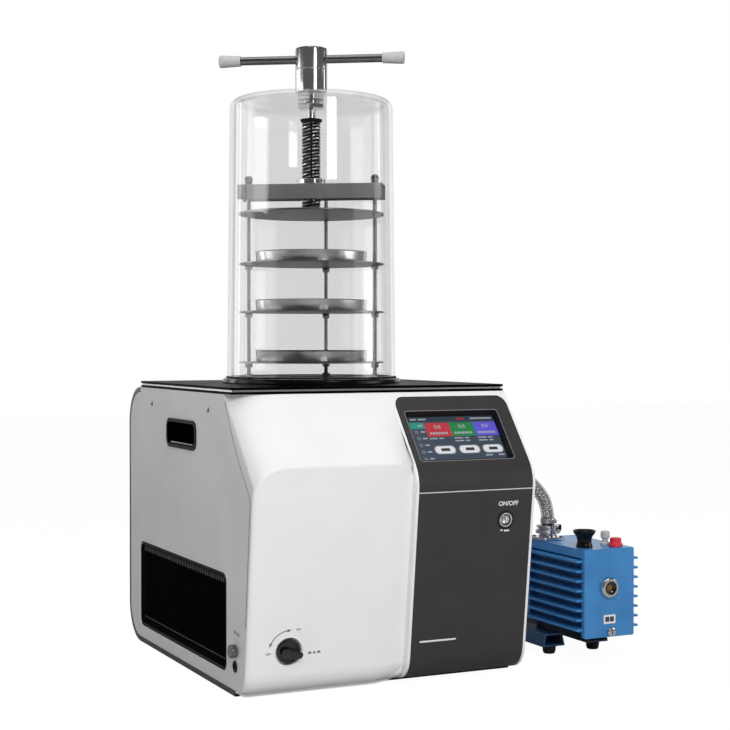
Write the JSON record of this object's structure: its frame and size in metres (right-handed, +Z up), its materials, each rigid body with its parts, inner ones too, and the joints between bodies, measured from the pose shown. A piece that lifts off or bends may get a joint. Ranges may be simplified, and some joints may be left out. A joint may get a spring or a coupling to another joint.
{
  "type": "freeze dryer",
  "caption": "Bench-top freeze dryer: a low cabinet with a touch display, a clear drying chamber with shelves, trays and a screw press, and a separate vacuum pump on a hose.",
  "frame": {"origin": "on the bench, on the cabinet's flat underside, straight below the middle of the cabinet's flat top plates", "axes": "+X to the right as seen from the front, +Y to the back, +Z up; the front faces -Y"},
  "size_m": [0.6827, 0.5892, 0.976],
  "materials": {
    "white_paint": "satin",
    "grey_paint": "fine texture",
    "black_paint": "satin",
    "black_glass": "polished",
    "fascia_grey": "satin",
    "black_plastic": "matte",
    "pale_plastic": "satin",
    "rubber": "matte",
    "steel": "polished",
    "chrome": "mirror polish",
    "copper": "dull",
    "aluminium": "satin",
    "acrylic": "polished",
    "pump_blue": "satin",
    "red_plastic": "gloss",
    "screen": "gloss",
    "clear_hose": "gloss"
  },
  "bodies": {
    "cabinet": {"base_pan": "black_paint", "rear_cover": "black_paint", "compressor": "black_paint", "left_side_panel": "grey_paint", "right_side_panel": "grey_paint", "front_moulding": "white_paint", "fascia_divider": "white_paint", "display_fascia": "fascia_grey", "lower_fascia": "fascia_grey", "left_vent_grille": "black_plastic", "left_handle_cup": "black_plastic", "right_handle_cup": "black_plastic", "exhaust_spout": "black_plastic", "display_module": "screen", "power_button_bezel": "chrome", "seal_collar": "chrome", "inlet_port": "chrome", "sight_glass": "chrome", "side_port": "chrome", "drain_valve": "steel", "aeration_valve": "steel", "cold_trap": "steel", "shaft_gland": "steel", "rod_left": "steel", "rod_right": "steel", "rod_rear": "steel", "screw_nut": "steel", "crossbar": "steel", "shelf_1": "steel", "shelf_2": "steel", "shelf_3": "steel", "drain_plug": "steel", "top_plate_lower": "black_glass", "top_plate_upper": "black_glass", "chamber_base_ring": "black_glass", "top_plate_spacer": "aluminium", "condenser": "aluminium", "tray_1": "aluminium", "tray_2": "aluminium", "tray_3": "aluminium", "trap_coil": "copper", "control_box": "pale_plastic", "chamber_gasket": "rubber", "clear_cover": "acrylic", "pump_oil_box": "pump_blue", "pump_motor": "pump_blue", "pump_base": "pump_blue", "vacuum_hose": "clear_hose"},
    "handle": {"handle_hub": "chrome", "handle_bar": "steel", "bar_cap_left": "pale_plastic", "bar_cap_right": "pale_plastic"},
    "press": {"press_plate": "steel"},
    "lift_screw": {"press_screw": "chrome"},
    "drain_turner": {"drain_knob": "black_plastic"},
    "power_cap": {"power_button": "chrome"},
    "aeration_turner": {"aeration_knob": "chrome"},
    "fan_rotor": {"cooling_fan": "black_plastic"},
    "ballast_turner": {"ballast_valve": "pale_plastic"},
    "filler_cap": {"oil_cap": "red_plastic"}
  },
  "joints": [
    {"name": "handle_turn", "type": "hinge", "parent": "cabinet", "child": "handle", "pos_m": [-0.006, 0, 0.95], "axis": [0, 0, -1], "range_deg": [0, 1080]},
    {"name": "press_travel", "type": "slide", "parent": "cabinet", "child": "press", "axis": [0, 0, -1], "range_m": [0, 0.0487]},
    {"name": "screw_turn", "type": "hinge", "parent": "press", "child": "lift_screw", "pos_m": [-0.006, 0, 0.8], "axis": [0, 0, -1], "range_deg": [0, 1081]},
    {"name": "drain_knob_turn", "type": "hinge", "parent": "cabinet", "child": "drain_turner", "pos_m": [-0.1625, -0.2777, 0.0675], "axis": [0, -0.9932, -0.1164], "range_deg": [0, 90]},
    {"name": "power_button_press", "type": "slide", "parent": "cabinet", "child": "power_cap", "axis": [0, 0.9932, 0.1164], "range_m": [0, 0.0025], "stiffness_N_per_m": 400, "springref_m": -0.002},
    {"name": "aeration_knob_turn", "type": "hinge", "parent": "cabinet", "child": "aeration_turner", "pos_m": [-0.23, -0.236, 0.066], "axis": [-1, 0, 0], "range_deg": [0, 720]},
    {"name": "cooling_fan_spin", "type": "hinge", "parent": "cabinet", "child": "fan_rotor", "pos_m": [-0.16, 0, 0.104], "axis": [1, 0, 0], "continuous": true},
    {"name": "ballast_valve_turn", "type": "hinge", "parent": "cabinet", "child": "ballast_turner", "pos_m": [0.41, -0.2227, 0.19], "axis": [0, 0, 1], "range_deg": [0, 180]},
    {"name": "oil_cap_turn", "type": "hinge", "parent": "cabinet", "child": "filler_cap", "pos_m": [0.4117, -0.2491, 0.186], "axis": [0, 0, 1], "range_deg": [0, 360]}
  ],
  "couplings": [
    {"joint": "press_travel", "follows": "handle_turn", "m_per_rad": 0.0025783},
    {"joint": "screw_turn", "follows": "handle_turn", "ratio": 1}
  ]
}
